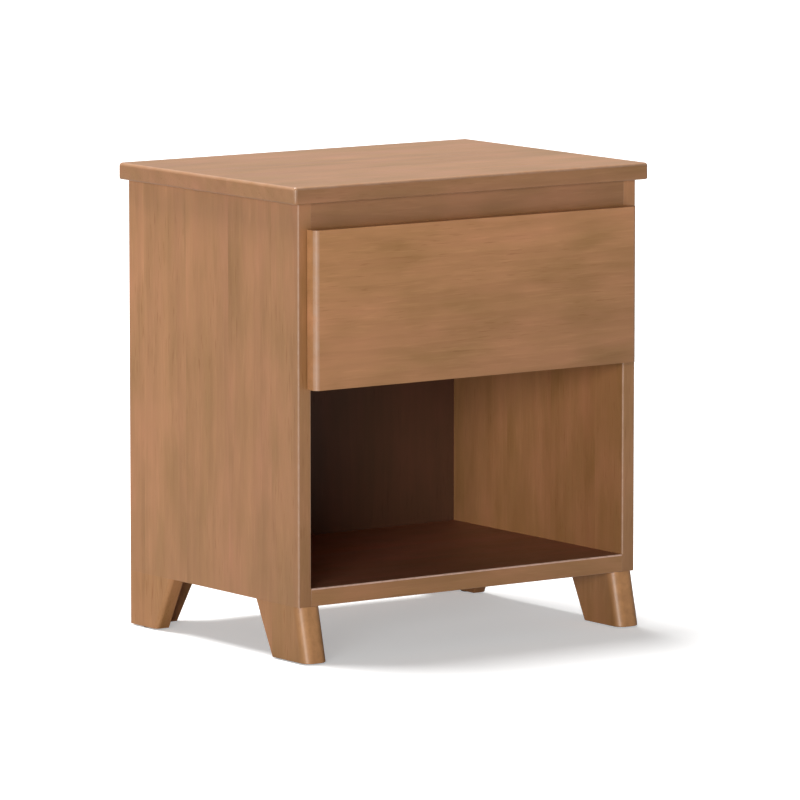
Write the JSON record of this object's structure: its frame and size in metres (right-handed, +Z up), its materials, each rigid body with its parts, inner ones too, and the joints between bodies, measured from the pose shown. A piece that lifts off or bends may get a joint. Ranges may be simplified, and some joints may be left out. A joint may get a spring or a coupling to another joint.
{
  "type": "nightstand",
  "caption": "Wooden nightstand: a handleless overlay drawer on telescopic slides above an open cubby, a rounded overhanging top and short tapered feet, the front pair leaning forward.",
  "frame": {"origin": "on the floor, under the middle of the whole outline seen from above", "axes": "+Z up; the drawer front faces -Y and the drawer opens towards -Y; +X is the viewer's right when facing the drawer"},
  "size_m": [0.507, 0.3734, 0.5515],
  "materials": {
    "stained_wood": "satin honey-brown stain and lacquer over solid alder",
    "stained_top": "satin honey-brown stain and lacquer over solid alder",
    "stained_panel": "stained plywood, satin",
    "plain_wood": "bare planed softwood",
    "dowel_wood": "bare turned hardwood",
    "drawer_wood": "clear satin lacquer over pale solid wood",
    "drawer_panel": "clear lacquered plywood",
    "slide_steel": "zinc plated cold-rolled steel",
    "cage_steel": "thin zinc plated sheet",
    "ball_steel": "polished",
    "screw_zinc": "zinc plated",
    "glide_plastic": "moulded nylon",
    "bumper_rubber": "soft rubber"
  },
  "bodies": {
    "case": {"top_board": "stained_top", "side_panel_left": "stained_wood", "side_panel_right": "stained_wood", "cubby_floor": "stained_wood", "divider_panel": "stained_wood", "front_rail": "stained_wood", "foot_front_left": "stained_wood", "foot_front_right": "stained_wood", "foot_rear_left_side": "stained_wood", "foot_rear_right_side": "stained_wood", "foot_rear_left_back": "stained_wood", "foot_rear_right_back": "stained_wood", "back_panel": "stained_panel", "rear_rail": "plain_wood", "cleat_left": "plain_wood", "cleat_right": "plain_wood", "corner_block_left": "plain_wood", "corner_block_right": "plain_wood", "case_dowels": "dowel_wood", "foot_dowels": "dowel_wood", "floor_glides": "glide_plastic", "slide_bumpers": "bumper_rubber", "cleat_screws": "screw_zinc", "block_screws": "screw_zinc", "slide_case_screws": "screw_zinc", "slide_case_left": "slide_steel", "slide_case_right": "slide_steel"},
    "drawer": {"drawer_front": "stained_wood", "drawer_box_front": "drawer_wood", "drawer_box_back": "drawer_wood", "drawer_side_left": "drawer_wood", "drawer_side_right": "drawer_wood", "drawer_bottom": "drawer_panel", "drawer_front_screws": "screw_zinc", "slide_drawer_left": "slide_steel", "slide_drawer_right": "slide_steel", "slide_drawer_screws": "screw_zinc"},
    "middle_left": {"slide_middle_left": "slide_steel"},
    "outer_cage_left": {"outer_cage_left": "cage_steel", "outer_balls_left": "ball_steel"},
    "inner_cage_left": {"inner_cage_left": "cage_steel", "inner_balls_left": "ball_steel"},
    "middle_right": {"slide_middle_right": "slide_steel"},
    "outer_cage_right": {"outer_cage_right": "cage_steel", "outer_balls_right": "ball_steel"},
    "inner_cage_right": {"inner_cage_right": "cage_steel", "inner_balls_right": "ball_steel"}
  },
  "joints": [
    {"name": "drawer_slide", "type": "slide", "parent": "case", "child": "drawer", "axis": [0, -1, 0], "range_m": [0, 0.29]},
    {"name": "middle_left_slide", "type": "slide", "parent": "case", "child": "middle_left", "axis": [0, -1, 0], "range_m": [0, 0.145]},
    {"name": "outer_cage_left_slide", "type": "slide", "parent": "case", "child": "outer_cage_left", "axis": [0, -1, 0], "range_m": [0, 0.0725]},
    {"name": "inner_cage_left_slide", "type": "slide", "parent": "case", "child": "inner_cage_left", "axis": [0, -1, 0], "range_m": [0, 0.2175]},
    {"name": "middle_right_slide", "type": "slide", "parent": "case", "child": "middle_right", "axis": [0, -1, 0], "range_m": [0, 0.145]},
    {"name": "outer_cage_right_slide", "type": "slide", "parent": "case", "child": "outer_cage_right", "axis": [0, -1, 0], "range_m": [0, 0.0725]},
    {"name": "inner_cage_right_slide", "type": "slide", "parent": "case", "child": "inner_cage_right", "axis": [0, -1, 0], "range_m": [0, 0.2175]}
  ],
  "couplings": [
    {"joint": "middle_left_slide", "follows": "drawer_slide", "ratio": 0.5},
    {"joint": "outer_cage_left_slide", "follows": "drawer_slide", "ratio": 0.25},
    {"joint": "inner_cage_left_slide", "follows": "drawer_slide", "ratio": 0.75},
    {"joint": "middle_right_slide", "follows": "drawer_slide", "ratio": 0.5},
    {"joint": "outer_cage_right_slide", "follows": "drawer_slide", "ratio": 0.25},
    {"joint": "inner_cage_right_slide", "follows": "drawer_slide", "ratio": 0.75}
  ]
}
